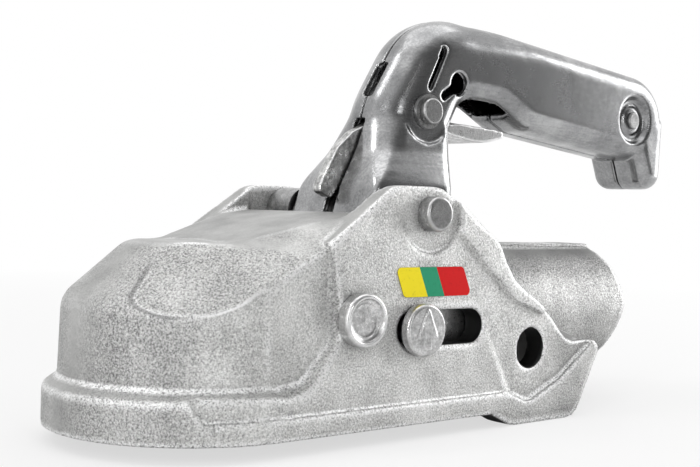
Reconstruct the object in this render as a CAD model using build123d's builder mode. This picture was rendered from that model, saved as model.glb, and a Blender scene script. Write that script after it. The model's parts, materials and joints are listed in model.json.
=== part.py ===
from build123d import *
from math import atan2, cos, radians, sin
import os

os.makedirs("parts", exist_ok=True)

# Trailer ball coupler in millimetres. The origin is the centre of the tow ball.
# +X runs back along the drawbar, +Z is up, and the object mirrors about Y = 0.

# Ball, nose and rim
ball_d = 50.0
ball_gap = 0.4
rim_r = 44.4
rim_bottom = -25.0
rim_band_top = -13.0
rim_band_end = -25.0
dome_r = 40.4
dome_foot = -9.8
shoulder_r = 39.2
shoulder_z = 13.5
crown_r = 20.5
nose_top = 31.0

# Flat facets cut into the nose, each side of the ramp
facet_out = 35.4
facet_turn = 36.7
facet_rise = 44.4
facet_rear = 20.3

# Side walls and ears
side_half = 44.0
cavity_half = 35.0
lean_start = 12.0
lean_in = 3.0
ear_top = 49.3
lip_x = 45.0
lip_z = 40.7
deck_z = 30.0
mouth_rear = 86.0
lug_bottom = -29.7
border_rise = 1.2
border_top = -18.6
border_start = -17.0
relief_sink = 0.5
step_edge = 2.6
lug_face_top = 15.0
lug_face_low = -19.0
lug_face_in = 1.0

# Drawbar tube
tube_r = 25.0
tube_z = 5.0
tube_end = 187.0
drawbar_r = 17.5
land_half = 8.0
land_rise = 0.2
stop_x = 92.0
stop_wall = 4.0
pocket_front = 98.0
pocket_rear = 124.0
pocket_top = 6.0

# Bolt holes for the drawbar
side_hole_x = 109.0
side_hole_z = -4.0
side_hole_r = 6.75
top_hole_x = 161.0
top_hole_r = 6.25

# Handle pivot
pivot_x = 61.5
pivot_z = 40.7
pivot_r = 4.0
pivot_head_r = 5.55
pivot_head_h = 5.0
pivot_face = 41.5
spot_r = 12.8
running_gap = 0.05
ring_t = 1.5
ring_w = 3.0
tail = 3.0

# Jaw axle
axle_x = 30.6
axle_z = 8.7
axle_r = 6.0
axle_head_r = 8.15
axle_head_h = 4.5

# Indicator pin and its slots in the side walls
pin_x = 55.4
pin_z = 4.7
pin_r = 5.0
pin_head_r = 8.2
pin_head_h = 3.5
pin_head_gap = 0.6
slot_front = 46.8
slot_rear = 84.8
slot_r = 5.55

# Slide with its plates, web and drive pin
slide_travel = 16.5
plate_t = 3.0
plate_gap = 0.5
plate_rear = 85.6
plate_low = -3.5
plate_high = 12.5
plate_end_r = 7.5
drive_arm = 26.0
drive_r = 3.5
fork_gap = 0.35
web_x = 60.8
web_t = 3.0

# Jaw
jaw_half = 28.0
jaw_swing = 20.0
barrel_r = 9.5
jaw_pin_x = 43.0
jaw_pin_z = -10.0
jaw_pin_r = 3.5
cam_gap = 0.35

# Main spring
spring_r = 8.0
spring_wire = 2.8
spring_turns = 5.0

# Handle
grip_half = 14.0
foot_half = 22.0
flare_bottom = 50.0
column_back = 100.5
shell_t = 2.6
shell_edge_r = 8.5
spine_edge_r = 12.5
finger_edge_r = 6.2
seam_half = 0.15
foot_r = 10.0
lever_t = 4.0
recess_x = 204.5
recess_z = 81.2
recess_r = 10.2
recess_depth = 2.8
boss_r = 5.2
boss_depth = 1.5
rivet_r = 2.2
rivet_head_r = 3.4
rivet_head_h = 1.1
slot_top = (93.9, 98.4)
slot_foot = (87.1, 84.8)
side_slot_r = 1.25
keyhole = (101.2, 86.9)
keyhole_neck = (93.9, 82.1)
keyhole_r = 4.1
neck_width = 3.1
sleeve_in = 3.0
sleeve_r = 5.4

# Latch
latch_x = 85.0
latch_z = 76.0
latch_pin_r = 3.0
latch_head_r = 4.55
latch_head_h = 2.5
washer_t = 1.5
washer_r = 6.0
spacer_r = 4.2
latch_wire = 1.3
latch_turns = 4.0
latch_half = 2.0
slit_half = 2.7
trigger_half = 9.0
trigger_gap = 0.6
trigger_t = 1.8
latch_pad_r = 11.2

# Label
label_t = 0.2
label_r = 1.6

drive_x = pivot_x - slide_travel / 2
drive_z = pivot_z - drive_arm
plate_out = cavity_half - plate_gap
plate_in = plate_out - plate_t
socket_r = ball_d / 2 + ball_gap
lever_out = foot_half - shell_t
lever_in = lever_out - lever_t


def wall_y(z):
    """Half width over the side walls at height z, where they lean inwards."""
    return side_half - lean_in * max(0.0, z - lean_start) / (ear_top - lean_start)


def side_plane(x, y, z):
    """Plane square to Y at the given point, facing the near side (-Y)."""
    return Plane(origin=(x, y, z), x_dir=(1, 0, 0), z_dir=(0, -1, 0))


def profile(plane, *corners):
    """Closed face on a plane, from corners given as (u, v, corner radius)."""
    with BuildSketch(plane) as sketch:
        with BuildLine():
            FilletPolyline(*[(u, v) for u, v, r in corners], radius=[r for u, v, r in corners], close=True)
        make_face()
    return sketch.sketch


def cross_section(x, bottom, out, edge_z, inner_half, inner_z):
    """Cross-section at x: walls up to edge_z, then a slope up or down to the middle."""
    return profile(
        Plane.YZ.offset(x), (-out, bottom, 0), (-out, edge_z, 0), (-inner_half, inner_z, 0),
        (inner_half, inner_z, 0), (out, edge_z, 0), (out, bottom, 0),
    )


# Housing, one casting
side_outline = [
    (0, rim_bottom, 0), (89, rim_bottom, 8), (99, lug_bottom, 8), (131.5, lug_bottom, 8),
    (146.5, -2.8, 3.5), (129, -3.2, 8), (118, 7.2, 20), (98.5, 19.5, 14), (93, 31, 8), (77, 43, 6),
    (67, ear_top, 9), (47, ear_top, 10), (21, 31.5, 0), (21.5, 4, 12), (12, -9.5, 9), (0, -11.5, 0),
]
# Part of a side wall that lies lower than the border along its bottom, lug and rear edge
border_inner = [
    (-40, border_top, 0), (97, border_top, 10), (107, -22.4, 6), (123, -15.8, 10), (139.5, -4.6, 0), (139.5, 20, 0),
    (118, 14, 0), (113.5, 7.8, 0), (100, 12.6, 10), (89.5, 21.3, 12), (72, 37.4, 8), (66, 60, 0), (-40, 60, 0),
]
# Part of a side wall behind the thin line from the slot down to the lug
lug_face = [(78.5, lug_face_top, 0), (99, -19.6, 0), (99, -60, 0), (160, -60, 0), (160, lug_face_top, 0)]
cavity_outline = [
    (12, -45, 0), (12, 0, 3), (19.8, 6, 3), (19.8, 16, 4), (28, 24, 4), (lip_x, 30, 2), (lip_x, 60, 0),
    (mouth_rear, 60, 0), (mouth_rear, deck_z - 4, 3), (stop_x, deck_z - 8, 3), (stop_x, -45, 0),
]
wall_root = cavity_half - 1
run_in = plate_in - 0.7
run_end = plate_rear + slide_travel + 1.2
beyond = 60.0


def lean_cut(side, rise):
    """Prism that trims the upper part of one side wall to its lean, set out by rise."""
    with BuildPart() as trim:
        extrude(
            profile(
                Plane.YZ.offset(-beyond), (-side * (side_half + rise), lean_start, 0),
                (-side * (wall_y(beyond) + rise), beyond, 0), (-side * 2 * beyond, beyond, 0),
                (-side * 2 * beyond, lean_start, 0),
            ),
            amount=5 * beyond,
        )
    return trim.part


def side_wall(side):
    """Side wall with its ear and lug, bevelled along its front step."""
    with BuildPart() as wall:
        extrude(profile(Plane.XZ.offset(side * wall_root), *side_outline), amount=side * (side_half - wall_root))
        outer = wall.edges().filter_by(lambda edge: abs(abs(edge.center().Y) - side_half) < 0.01)
        chamfer(outer.filter_by(lambda edge: 0.5 < edge.center().X < 23 and -13 < edge.center().Z < 30), step_edge)
    return wall.part


def wall_border(side):
    """Raised border along the bottom, the lug and the rear edge of one side wall."""
    with BuildPart() as border:
        extrude(
            profile(Plane.XZ.offset(side * wall_root), *side_outline),
            amount=side * (side_half + border_rise - wall_root),
        )
        extrude(
            profile(Plane.XZ.offset(side * (wall_root - 1)), *border_inner), amount=side * beyond, mode=Mode.SUBTRACT
        )
        add(lean_cut(side, border_rise), mode=Mode.SUBTRACT)
    return border.part


def lug_relief(side):
    """Wedge off the outer face of one lug, behind the thin line."""
    with BuildPart() as wedge:
        extrude(
            profile(
                Plane.YZ, (-side * side_half, lug_face_top, 0), (-side * (side_half - lug_face_in), lug_face_low, 0),
                (-side * (side_half - lug_face_in), -beyond, 0), (-side * 2 * beyond, -beyond, 0),
                (-side * 2 * beyond, lug_face_top, 0),
            ),
            amount=4 * beyond,
        )
        extrude(profile(Plane.XZ, *lug_face), amount=2 * beyond, both=True, mode=Mode.INTERSECT)
    return wedge.part


def facet_cut(side):
    """Everything outside the flat facet on one side, square to a line through the ball centre."""
    normal = (
        -cos(radians(facet_rise)) * sin(radians(facet_turn)),
        side * cos(radians(facet_rise)) * cos(radians(facet_turn)),
        sin(radians(facet_rise)),
    )
    with BuildPart() as facet:
        with BuildSketch(Plane(origin=[n * facet_out for n in normal], z_dir=normal)):
            Circle(beyond)
        extrude(amount=beyond)
        with BuildSketch(Plane.YZ.offset(facet_rear)):
            Rectangle(4 * beyond, 4 * beyond)
        extrude(amount=-2 * beyond, mode=Mode.INTERSECT)
    return facet.part


# Where the rim band stops, the wall behind it steps in and the border takes over at its foot
blend_x = 1.5
with BuildPart() as band_relief:
    extrude(
        profile(
            Plane.XZ, (rim_band_end - 1.5, dome_foot + 1, 0), (rim_band_end + 5, border_top - relief_sink, 0),
            (blend_x, border_top - relief_sink, 0), (blend_x, dome_foot + 1, 0),
        ),
        amount=beyond, both=True,
    )
    with BuildSketch(Plane.XY.offset(rim_bottom)):
        with Locations((blend_x, 0)):
            Circle(side_half)
    extrude(amount=-rim_bottom, mode=Mode.SUBTRACT)
with BuildPart() as border_front:
    with BuildSketch(Plane.XY.offset(rim_bottom)):
        with Locations((blend_x, 0)):
            Circle(side_half + border_rise)
        with Locations((border_start, 0)):
            Rectangle(blend_x + 8 - border_start, 4 * side_half, align=(Align.MIN, Align.CENTER), mode=Mode.INTERSECT)
            Rectangle(2 * beyond, 2 * wall_root, mode=Mode.SUBTRACT)
    extrude(amount=border_top - rim_bottom)

with BuildPart() as housing:
    # Dome of the nose
    revolve(
        profile(
            Plane.XZ, (0, rim_bottom, 0), (dome_r, rim_bottom, 0), (shoulder_r, shoulder_z, 9),
            (crown_r, nose_top - 0.6, 6), (0, nose_top, 0),
        ),
        axis=Axis.Z,
    )
    # Rim band
    revolve(
        profile(
            Plane.XZ, (0, rim_bottom, 0), (rim_r, rim_bottom, 0), (rim_r, rim_band_top, 1.5),
            (dome_r - 0.5, dome_foot, 0), (0, dome_foot, 0),
        ),
        axis=Axis.Z,
    )
    # Ramp from the dome up to the lip of the mouth
    loft(
        [
            cross_section(0, rim_bottom + 1, dome_r, 24, 22, nose_top - 0.4),
            cross_section(10, rim_bottom + 1, dome_r, 25.5, 25, 33.2),
            cross_section(20, rim_bottom + 1, side_half - 2.8, 29.3, 28, 36),
            cross_section(32, rim_bottom + 1, wall_y(38.5), 38.5, 31, 38.8),
            cross_section(lip_x, rim_bottom + 1, wall_y(47.3), 47.3, 34, lip_z),
        ]
    )
    # Deck behind the mouth, falling to the drawbar tube
    loft(
        [
            cross_section(stop_x - 6, rim_bottom + 1, side_half - 1.2, deck_z, 30, deck_z),
            cross_section(98, rim_bottom + 1, side_half - 0.5, 19.5, 22, deck_z - 0.5),
            cross_section(111, rim_bottom + 3, side_half - 0.3, 8.5, 24, 24),
            cross_section(125, rim_bottom + 8, side_half - 0.3, -1.5, 24.5, 12),
            cross_section(141, -8, side_half - 1, -5, 24, 2),
        ]
    )
    # Facets beside the ramp
    for side in (1, -1):
        add(facet_cut(side), mode=Mode.SUBTRACT)
    # Side walls with the ears and lugs
    for side in (1, -1):
        add(side_wall(side))
    # Drawbar tube with the flat land round the top hole
    with BuildSketch(Plane.YZ.offset(stop_x)) as tube_sketch:
        with Locations((0, tube_z)):
            Circle(tube_r)
        with Locations((0, tube_z + tube_r + land_rise)):
            Rectangle(2 * land_half, tube_r, align=(Align.CENTER, Align.MAX))
    extrude(amount=tube_end - stop_x)
    # Rear end, slanted back above and below the tube axis
    extrude(
        profile(
            Plane.XZ, (tube_end - 3.5, 40, 0), (tube_end - 3.5, 28, 6), (tube_end, tube_z + 2.5, 10),
            (tube_end - 11, -22, 0), (tube_end - 11, -40, 0), (tube_end + 20, -40, 0), (tube_end + 20, 40, 0),
        ),
        amount=beyond, both=True, mode=Mode.SUBTRACT,
    )
    # Upper walls lean inwards, the lugs are thinner, and a raised border runs round both
    for side in (1, -1):
        add(lean_cut(side, 0), mode=Mode.SUBTRACT)
        add(lug_relief(side), mode=Mode.SUBTRACT)
        add(wall_border(side))
    add(band_relief.part, mode=Mode.SUBTRACT)
    add(border_front.part)
    # Ball socket, open below, and the space for the mechanism
    Sphere(socket_r, mode=Mode.SUBTRACT)
    with BuildSketch(Plane.XY.offset(rim_bottom - 1)):
        Circle(socket_r)
    extrude(amount=-rim_bottom + 1, mode=Mode.SUBTRACT)
    extrude(profile(Plane.XZ, *cavity_outline), amount=cavity_half, both=True, mode=Mode.SUBTRACT)
    # Drawbar bore and the pocket between the lugs
    with BuildSketch(Plane.YZ.offset(stop_x + stop_wall)):
        with Locations((0, tube_z)):
            Circle(drawbar_r)
    extrude(amount=2 * beyond, mode=Mode.SUBTRACT)
    extrude(
        profile(
            Plane.XZ, (pocket_front, -45, 0), (pocket_front, pocket_top, 4), (pocket_rear, pocket_top, 4),
            (pocket_rear + 4, -45, 0),
        ),
        amount=cavity_half, both=True, mode=Mode.SUBTRACT,
    )
    # Runs for the slide plates, through the wall behind the mechanism
    for side in (1, -1):
        extrude(
            profile(
                Plane.XZ.offset(side * run_in), (stop_x - 6, plate_low - 2, 0), (stop_x - 6, plate_high + 5, 0),
                (run_end, plate_high + 5, 3), (run_end, plate_low - 2, 3),
            ),
            amount=side * (cavity_half - run_in), mode=Mode.SUBTRACT,
        )
    # Bolt holes
    with BuildSketch(side_plane(side_hole_x, 0, side_hole_z)):
        Circle(side_hole_r)
    extrude(amount=beyond, both=True, mode=Mode.SUBTRACT)
    with BuildSketch(Plane.XY.offset(-beyond)):
        with Locations((top_hole_x, 0)):
            Circle(top_hole_r)
    extrude(amount=2 * beyond, mode=Mode.SUBTRACT)
    # Spot faces and holes for the handle pivot
    for side in (1, -1):
        with BuildSketch(side_plane(pivot_x, -side * pivot_face, pivot_z)):
            Circle(spot_r)
        extrude(amount=side * 10, mode=Mode.SUBTRACT)
    with BuildSketch(side_plane(pivot_x, 0, pivot_z)):
        Circle(pivot_r + running_gap)
    extrude(amount=beyond, both=True, mode=Mode.SUBTRACT)
    # Holes for the jaw axle and slots for the indicator pin
    with BuildSketch(side_plane(axle_x, 0, axle_z)):
        Circle(axle_r + running_gap)
    extrude(amount=beyond, both=True, mode=Mode.SUBTRACT)
    with BuildSketch(side_plane((slot_front + slot_rear) / 2, 0, pin_z)):
        SlotOverall(slot_rear - slot_front, 2 * slot_r)
    extrude(amount=beyond, both=True, mode=Mode.SUBTRACT)
housing.part.label = "housing"
export_step(housing.part, "parts/housing.step")


def ring(x, z, y, bore_r, outer_r, thickness):
    """Flat ring round a pin, from y outwards to the far side (+Y) or the near side (-Y)."""
    with BuildPart() as washer:
        with BuildSketch(side_plane(x, y, z)):
            Circle(outer_r)
            Circle(bore_r, mode=Mode.SUBTRACT)
        extrude(amount=thickness)
    return washer.part


def headed_pin(x, z, shank_r, far_y, near_y, head_r, head_h, edge):
    """Pin along Y with a round head on the near side, its shank from far_y to near_y."""
    with BuildPart() as pin:
        with BuildSketch(side_plane(x, far_y, z)):
            Circle(shank_r)
        extrude(amount=far_y + near_y)
        with BuildSketch(side_plane(x, -near_y, z)):
            Circle(head_r)
        extrude(amount=head_h)
        chamfer(pin.faces().sort_by(Axis.Y)[0].edges(), edge)
        chamfer(pin.faces().sort_by(Axis.Y)[-1].edges(), edge)
    return pin.part


# Handle pivot pin, fixed in the ears
with BuildPart() as handle_pivot_pin:
    add(
        headed_pin(
            pivot_x, pivot_z, pivot_r, pivot_face + ring_t + tail, pivot_face, pivot_head_r, pivot_head_h, 0.6
        )
    )
handle_pivot_pin.part.label = "handle_pivot_pin"
export_step(handle_pivot_pin.part, "parts/handle_pivot_pin.step")

with BuildPart() as pivot_retaining_ring:
    add(ring(pivot_x, pivot_z, pivot_face + ring_t, pivot_r, pivot_r + ring_w, ring_t))
pivot_retaining_ring.part.label = "pivot_retaining_ring"
export_step(pivot_retaining_ring.part, "parts/pivot_retaining_ring.step")

# Spacer bushes on the pivot pin, between the handle and the ears
bush_in = foot_half + 0.3
for side, name in ((-1, "spacer_bush_left"), (1, "spacer_bush_right")):
    near = min(side * bush_in, side * cavity_half)
    with BuildPart() as spacer_bush:
        add(
            ring(
                pivot_x, pivot_z, near + cavity_half - bush_in, pivot_r + running_gap,
                pivot_r + ring_w + 1, cavity_half - bush_in,
            )
        )
    spacer_bush.part.label = name
    export_step(spacer_bush.part, f"parts/{name}.step")

# Jaw axle with its dished head
with BuildPart() as jaw_axle_pin:
    add(headed_pin(axle_x, axle_z, axle_r, side_half + ring_t + tail, side_half, axle_head_r, axle_head_h, 0.7))
    with BuildSketch(side_plane(axle_x, -side_half - axle_head_h, axle_z)):
        Circle(axle_head_r - 1.6)
    extrude(amount=-1.0, mode=Mode.SUBTRACT)
    with BuildSketch(side_plane(axle_x, -side_half - axle_head_h + 1.0, axle_z)):
        Circle(axle_head_r - 2.8)
    extrude(amount=-0.8, mode=Mode.SUBTRACT)
jaw_axle_pin.part.label = "jaw_axle_pin"
export_step(jaw_axle_pin.part, "parts/jaw_axle_pin.step")

with BuildPart() as axle_retaining_ring:
    add(ring(axle_x, axle_z, side_half + ring_t, axle_r, axle_r + ring_w, ring_t))
axle_retaining_ring.part.label = "axle_retaining_ring"
export_step(axle_retaining_ring.part, "parts/axle_retaining_ring.step")

# Indicator pin, its head with a raised arrow that points up at the label
head_y = side_half + pin_head_gap
arrow_h = 0.5
with BuildPart() as indicator_pin:
    add(headed_pin(pin_x, pin_z, pin_r, head_y + ring_t + tail, head_y, pin_head_r, pin_head_h, 0.7))
    extrude(
        profile(
            side_plane(pin_x, -head_y - pin_head_h, pin_z), (-1.2, -6, 0.3), (1.2, -6, 0.3), (1.2, -2, 0),
            (4.2, -2.6, 0.4), (0, 7, 0.5), (-4.2, -2.6, 0.4), (-1.2, -2, 0),
        ),
        amount=arrow_h,
    )
indicator_pin.part.label = "indicator_pin"
export_step(indicator_pin.part, "parts/indicator_pin.step")

with BuildPart() as indicator_retaining_ring:
    add(ring(pin_x, pin_z, head_y + ring_t, pin_r, pin_r + ring_w, ring_t))
indicator_retaining_ring.part.label = "indicator_retaining_ring"
export_step(indicator_retaining_ring.part, "parts/indicator_retaining_ring.step")


def jaw_pin_in_slide(share):
    """Place of the jaw pin, seen from the slide, when both have gone this share of their travel."""
    turn = radians(jaw_swing * share)
    u = jaw_pin_x - axle_x
    v = jaw_pin_z - axle_z
    return (
        axle_x + u * cos(turn) - v * sin(turn) - slide_travel * share,
        axle_z + u * sin(turn) + v * cos(turn),
    )


# Slide plates, with the slanted cam slots that swing the jaw
plate_outline = [
    (26, -14, 3), (50, -19, 4), (72, plate_low, 4), (plate_rear, plate_low, plate_end_r),
    (plate_rear, plate_high, plate_end_r), (66, 19, 4), (46, 20.5, 5), (42, 3.5, 5), (26, 2.2, 3),
]
cam_path = ThreePointArc(jaw_pin_in_slide(0), jaw_pin_in_slide(0.5), jaw_pin_in_slide(1))
for side, name in ((-1, "slide_plate_left"), (1, "slide_plate_right")):
    with BuildPart() as slide_plate:
        start_y = plate_out if side > 0 else -plate_in
        extrude(profile(side_plane(0, start_y, 0), *plate_outline), amount=plate_t)
        with BuildSketch(side_plane(0, start_y, 0)):
            with Locations((pin_x, pin_z)):
                Circle(pin_r)
            with Locations((drive_x, drive_z)):
                Circle(drive_r)
            SlotArc(arc=cam_path, height=2 * (jaw_pin_r + cam_gap))
        extrude(amount=plate_t, mode=Mode.SUBTRACT)
    slide_plate.part.label = name
    export_step(slide_plate.part, f"parts/{name}.step")

# Web between the slide plates, which the main spring pushes on
web_half_h = 6.5
boss_half = 10.0
with BuildPart() as thrust_web:
    with BuildSketch(Plane.YZ.offset(web_x)):
        Rectangle(2 * plate_in, 2 * web_half_h)
        RectangleRounded(2 * boss_half + 4, 2 * boss_half, 2)
    extrude(amount=web_t)
thrust_web.part.label = "thrust_web"
export_step(thrust_web.part, "parts/thrust_web.step")

with BuildPart() as drive_pin:
    with BuildSketch(side_plane(drive_x, plate_out, drive_z)):
        Circle(drive_r)
    extrude(amount=2 * plate_out)
    chamfer(drive_pin.edges().filter_by(GeomType.CIRCLE), 0.4)
drive_pin.part.label = "drive_pin"
export_step(drive_pin.part, "parts/drive_pin.step")

# Spring seat against the wall behind the mechanism
seat_t = 2.0
with BuildPart() as spring_seat:
    with BuildSketch(Plane.YZ.offset(stop_x - seat_t)):
        Rectangle(2 * plate_in - 1, 2 * boss_half)
    extrude(amount=seat_t)
    with BuildSketch(Plane.YZ.offset(stop_x - seat_t)):
        Circle(spring_r - spring_wire / 2 - 0.3)
    extrude(amount=-3)
spring_seat.part.label = "spring_seat"
export_step(spring_seat.part, "parts/spring_seat.step")

# Main spring, from the web to the seat
spring_start = web_x + web_t + spring_wire / 2
spring_len = stop_x - seat_t - spring_start - spring_wire / 2
with BuildPart() as main_spring:
    with BuildLine() as coil:
        Helix(
            pitch=spring_len / spring_turns, height=spring_len, radius=spring_r,
            center=(spring_start, 0, 0), direction=(1, 0, 0),
        )
    with BuildSketch(Plane(origin=coil.line @ 0, z_dir=coil.line % 0)):
        Circle(spring_wire / 2)
    sweep(is_frenet=True)
main_spring.part.label = "main_spring"
export_step(main_spring.part, "parts/main_spring.step")

# Jaw behind and under the ball
jaw_outline = [
    (14, -22.8, 1.5), (37, -22.8, 5), (49.3, -17, 4), (49.3, -3, 4), (41, 4, 0), (21, 4, 0), (14, -6, 2),
]
with BuildPart() as ball_jaw:
    extrude(profile(Plane.XZ, *jaw_outline), amount=jaw_half, both=True)
    with BuildSketch(side_plane(axle_x, 0, axle_z)):
        Circle(barrel_r)
    extrude(amount=jaw_half, both=True)
    with BuildSketch(Plane.XY.offset(2)):
        with Locations((axle_x, 0)):
            Rectangle(40, 28)
    extrude(amount=20, mode=Mode.SUBTRACT)
    Sphere(ball_d / 2 + ball_gap, mode=Mode.SUBTRACT)
    with BuildSketch(side_plane(axle_x, 0, axle_z)):
        Circle(axle_r + running_gap)
    extrude(amount=jaw_half, both=True, mode=Mode.SUBTRACT)
    with BuildSketch(side_plane(jaw_pin_x, 0, jaw_pin_z)):
        Circle(jaw_pin_r)
    extrude(amount=jaw_half, both=True, mode=Mode.SUBTRACT)
ball_jaw.part.label = "ball_jaw"
export_step(ball_jaw.part, "parts/ball_jaw.step")

with BuildPart() as jaw_pin:
    with BuildSketch(side_plane(jaw_pin_x, plate_out, jaw_pin_z)):
        Circle(jaw_pin_r)
    extrude(amount=2 * plate_out)
jaw_pin.part.label = "jaw_pin"
export_step(jaw_pin.part, "parts/jaw_pin.step")

# Handle, two pressed half shells
grip_front = 88.1
grip_end = 227.8
grip_high = 112.6
grip_fall = 0.103


def grip_top(x):
    """Height of the top of the grip, which falls towards its end."""
    return grip_high - grip_fall * (x - grip_front)


grip_outline = [
    (40, 57, 0), (40, grip_top(40), 0), (grip_end, grip_top(grip_end), 20), (grip_end - 0.8, 63, 9.5),
    (140, 72.6, 14), (124, 80.5, 10), (column_back + 5.6, 81.5, 8), (column_back - 0.3, 70, 6),
    (column_back - 0.3, 57, 0),
]
# Spine and crown, rounder than the grip, and clear of it behind the crown
crown_outline = [
    (55, 37, 0), (69, 80.7, 30), (grip_front, grip_top(grip_front) - 0.25, 30), (112, grip_top(112) - 0.25, 60),
    (260, grip_top(112), 0), (260, 37, 0),
]
finger_outline = [
    (205, 84, 0), (207.5, 67.5, 30), (213.2, 53.2, 6.6), (grip_end - 2.4, 53.2, 6.6), (grip_end - 0.5, 84, 0),
]
foot_outline = [
    (30, 10, 0), (30, pivot_z + 1, 0), (pivot_x - foot_r, pivot_z + 1, 0), (pivot_x - foot_r, 31, foot_r - 0.5),
    (72, 31.5, 12), (99, 33.5, 0), (120, 33.5, 0), (120, 10, 0),
]
# Height, front, back, half width, and the corner radius in front and behind of the column over the pivot
column_sections = [
    (80, 72.5, column_back - 1.5, grip_half - 1.5, 9, 7), (74, 67.2, column_back - 0.4, grip_half - 0.1, 12, 8),
    (62, 62.6, column_back - 3, 16.8, 9, 7), (flare_bottom, 56.2, column_back - 7, foot_half, 4, 6),
    (20, 46.2, column_back - 7, foot_half, 4, 6),
]


def pressed_form(outline, inset, edge_r):
    """Flat form with rounded edges, moved inwards by inset."""
    with BuildPart() as form:
        with BuildSketch(Plane.XZ):
            add(profile(Plane.XY, *outline))
            if inset:
                offset(amount=-inset, kind=Kind.INTERSECTION, mode=Mode.REPLACE)
        extrude(amount=grip_half - inset, both=True)
        fillet(
            form.edges().filter_by(lambda edge: abs(abs(edge.center().Y) - grip_half + inset) < 0.01),
            edge_r - inset,
        )
    return form.part


def column_form(inset):
    """Column that widens down to the foot, pressed flat round the latch pin, moved inwards by inset."""
    with BuildPart() as form:
        for z, front, back, half, front_r, back_r in column_sections:
            near, far = (half - inset, inset - half)
            add(
                profile(
                    Plane.XY.offset(z), (front + inset, far, front_r - inset), (back - inset, far, back_r - inset),
                    (back - inset, near, back_r - inset), (front + inset, near, front_r - inset),
                )
            )
        loft(ruled=True)
        for start_y in (grip_half - inset + beyond, inset - grip_half):
            add(across(latch_x, latch_z, latch_pad_r + inset, start_y, beyond), mode=Mode.SUBTRACT)
    return form.part


def handle_form(inset):
    """The closed form of the handle, moved inwards by inset."""
    with BuildPart() as form:
        add(pressed_form(grip_outline, inset, shell_edge_r))
        add(pressed_form(crown_outline, inset, spine_edge_r), mode=Mode.INTERSECT)
        add(pressed_form(finger_outline, inset, finger_edge_r))
        add(column_form(inset))
    return form.part


def across(x, z, radius, start_y, length):
    """Round bar along Y, from start_y towards the near side."""
    with BuildPart() as bar:
        with BuildSketch(side_plane(x, start_y, z)):
            Circle(radius)
        extrude(amount=length)
    return bar.part


def dimple(side, *corners):
    """Turned form round the rivet, from corners given as (radius, depth below the side of the grip)."""
    with BuildPart() as turned:
        revolve(
            profile(
                Plane.XY.move(Location((recess_x, 0, recess_z))),
                *[(r, side * (grip_half - depth), 0) for r, depth in corners],
            ),
            axis=Axis((recess_x, 0, recess_z), (0, 1, 0)),
        )
    return turned.part


def handle_shell(side):
    """One half of the handle, on the near side (-1) or the far side (+1)."""
    groove = (boss_r + 0.8, recess_r - 1.8)
    with BuildPart() as shell:
        add(outer_form)
        add(inner_form, mode=Mode.SUBTRACT)
        # Dimple at the end of the grip, with a boss in its middle for the rivet
        add(
            dimple(
                side, (0, shell_t / 2), (recess_r + 1.5, shell_t / 2), (recess_r + 1.5, shell_t + 0.4),
                (groove[1] + 1.2, recess_depth + shell_t), (groove[0] - 1.2, recess_depth + shell_t),
                (boss_r - 1.2, boss_depth + shell_t), (0, boss_depth + shell_t),
            )
        )
        add(
            dimple(
                side, (0, -1), (recess_r + 0.6, -1), (recess_r, 0), (groove[1], recess_depth),
                (groove[0], recess_depth), (boss_r, boss_depth), (0, boss_depth),
            ),
            mode=Mode.SUBTRACT,
        )
        add(across(recess_x, recess_z, rivet_r, beyond, 2 * beyond), mode=Mode.SUBTRACT)
        # Foot round the pivot
        extrude(profile(Plane.XZ, *foot_outline), amount=beyond, both=True, mode=Mode.SUBTRACT)
        add(across(pivot_x, pivot_z, pivot_r + running_gap, beyond, 2 * beyond), mode=Mode.SUBTRACT)
        add(across(latch_x, latch_z, latch_pin_r, beyond, 2 * beyond), mode=Mode.SUBTRACT)
        # Slit and window for the latch in the front, and the opening for the trigger below
        extrude(
            profile(Plane.XZ, (35, 10, 0), (35, 73, 0), (74, 73, 0), (66, 45, 0), (66, 10, 0)),
            amount=slit_half, both=True, mode=Mode.SUBTRACT,
        )
        extrude(
            profile(Plane.XZ, (60, 81, 0), (60, 93, 0), (83, 93, 0), (75, 81, 0)),
            amount=slit_half, both=True, mode=Mode.SUBTRACT,
        )
        extrude(
            profile(Plane.XZ, (90, 63, 0), (90, 90, 0), (131.5, 90, 0), (131.5, 63, 0)),
            amount=trigger_half + trigger_gap, both=True, mode=Mode.SUBTRACT,
        )
        # Slot and keyhole in the side
        with BuildSketch(side_plane(0, beyond, 0)):
            SlotCenterPoint(
                ((slot_top[0] + slot_foot[0]) / 2, (slot_top[1] + slot_foot[1]) / 2), slot_top, 2 * side_slot_r
            )
            with Locations(keyhole):
                Circle(keyhole_r)
            SlotCenterPoint(
                ((keyhole[0] + keyhole_neck[0]) / 2, (keyhole[1] + keyhole_neck[1]) / 2), keyhole_neck, neck_width
            )
        extrude(amount=2 * beyond, mode=Mode.SUBTRACT)
        # Keep one side of the seam
        with BuildSketch(side_plane(120, beyond if side > 0 else -seam_half, 70)):
            Rectangle(300, 200)
        extrude(amount=beyond - seam_half, mode=Mode.INTERSECT)
    return shell.part


outer_form = handle_form(0)
inner_form = handle_form(shell_t)
for side, name in ((-1, "handle_shell_left"), (1, "handle_shell_right")):
    with BuildPart() as handle_half:
        add(handle_shell(side))
    handle_half.part.label = name
    export_step(handle_half.part, f"parts/{name}.step")

# Lever plates in the foot of the handle, forked round the drive pin
drive_tilt = atan2(slide_travel / 2, drive_arm)


def on_arm(along, aside):
    """Point on the lever arm, at a distance from the pivot and to its rear side."""
    return (
        pivot_x - along * sin(drive_tilt) + aside * cos(drive_tilt),
        pivot_z - along * cos(drive_tilt) - aside * sin(drive_tilt),
    )


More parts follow.
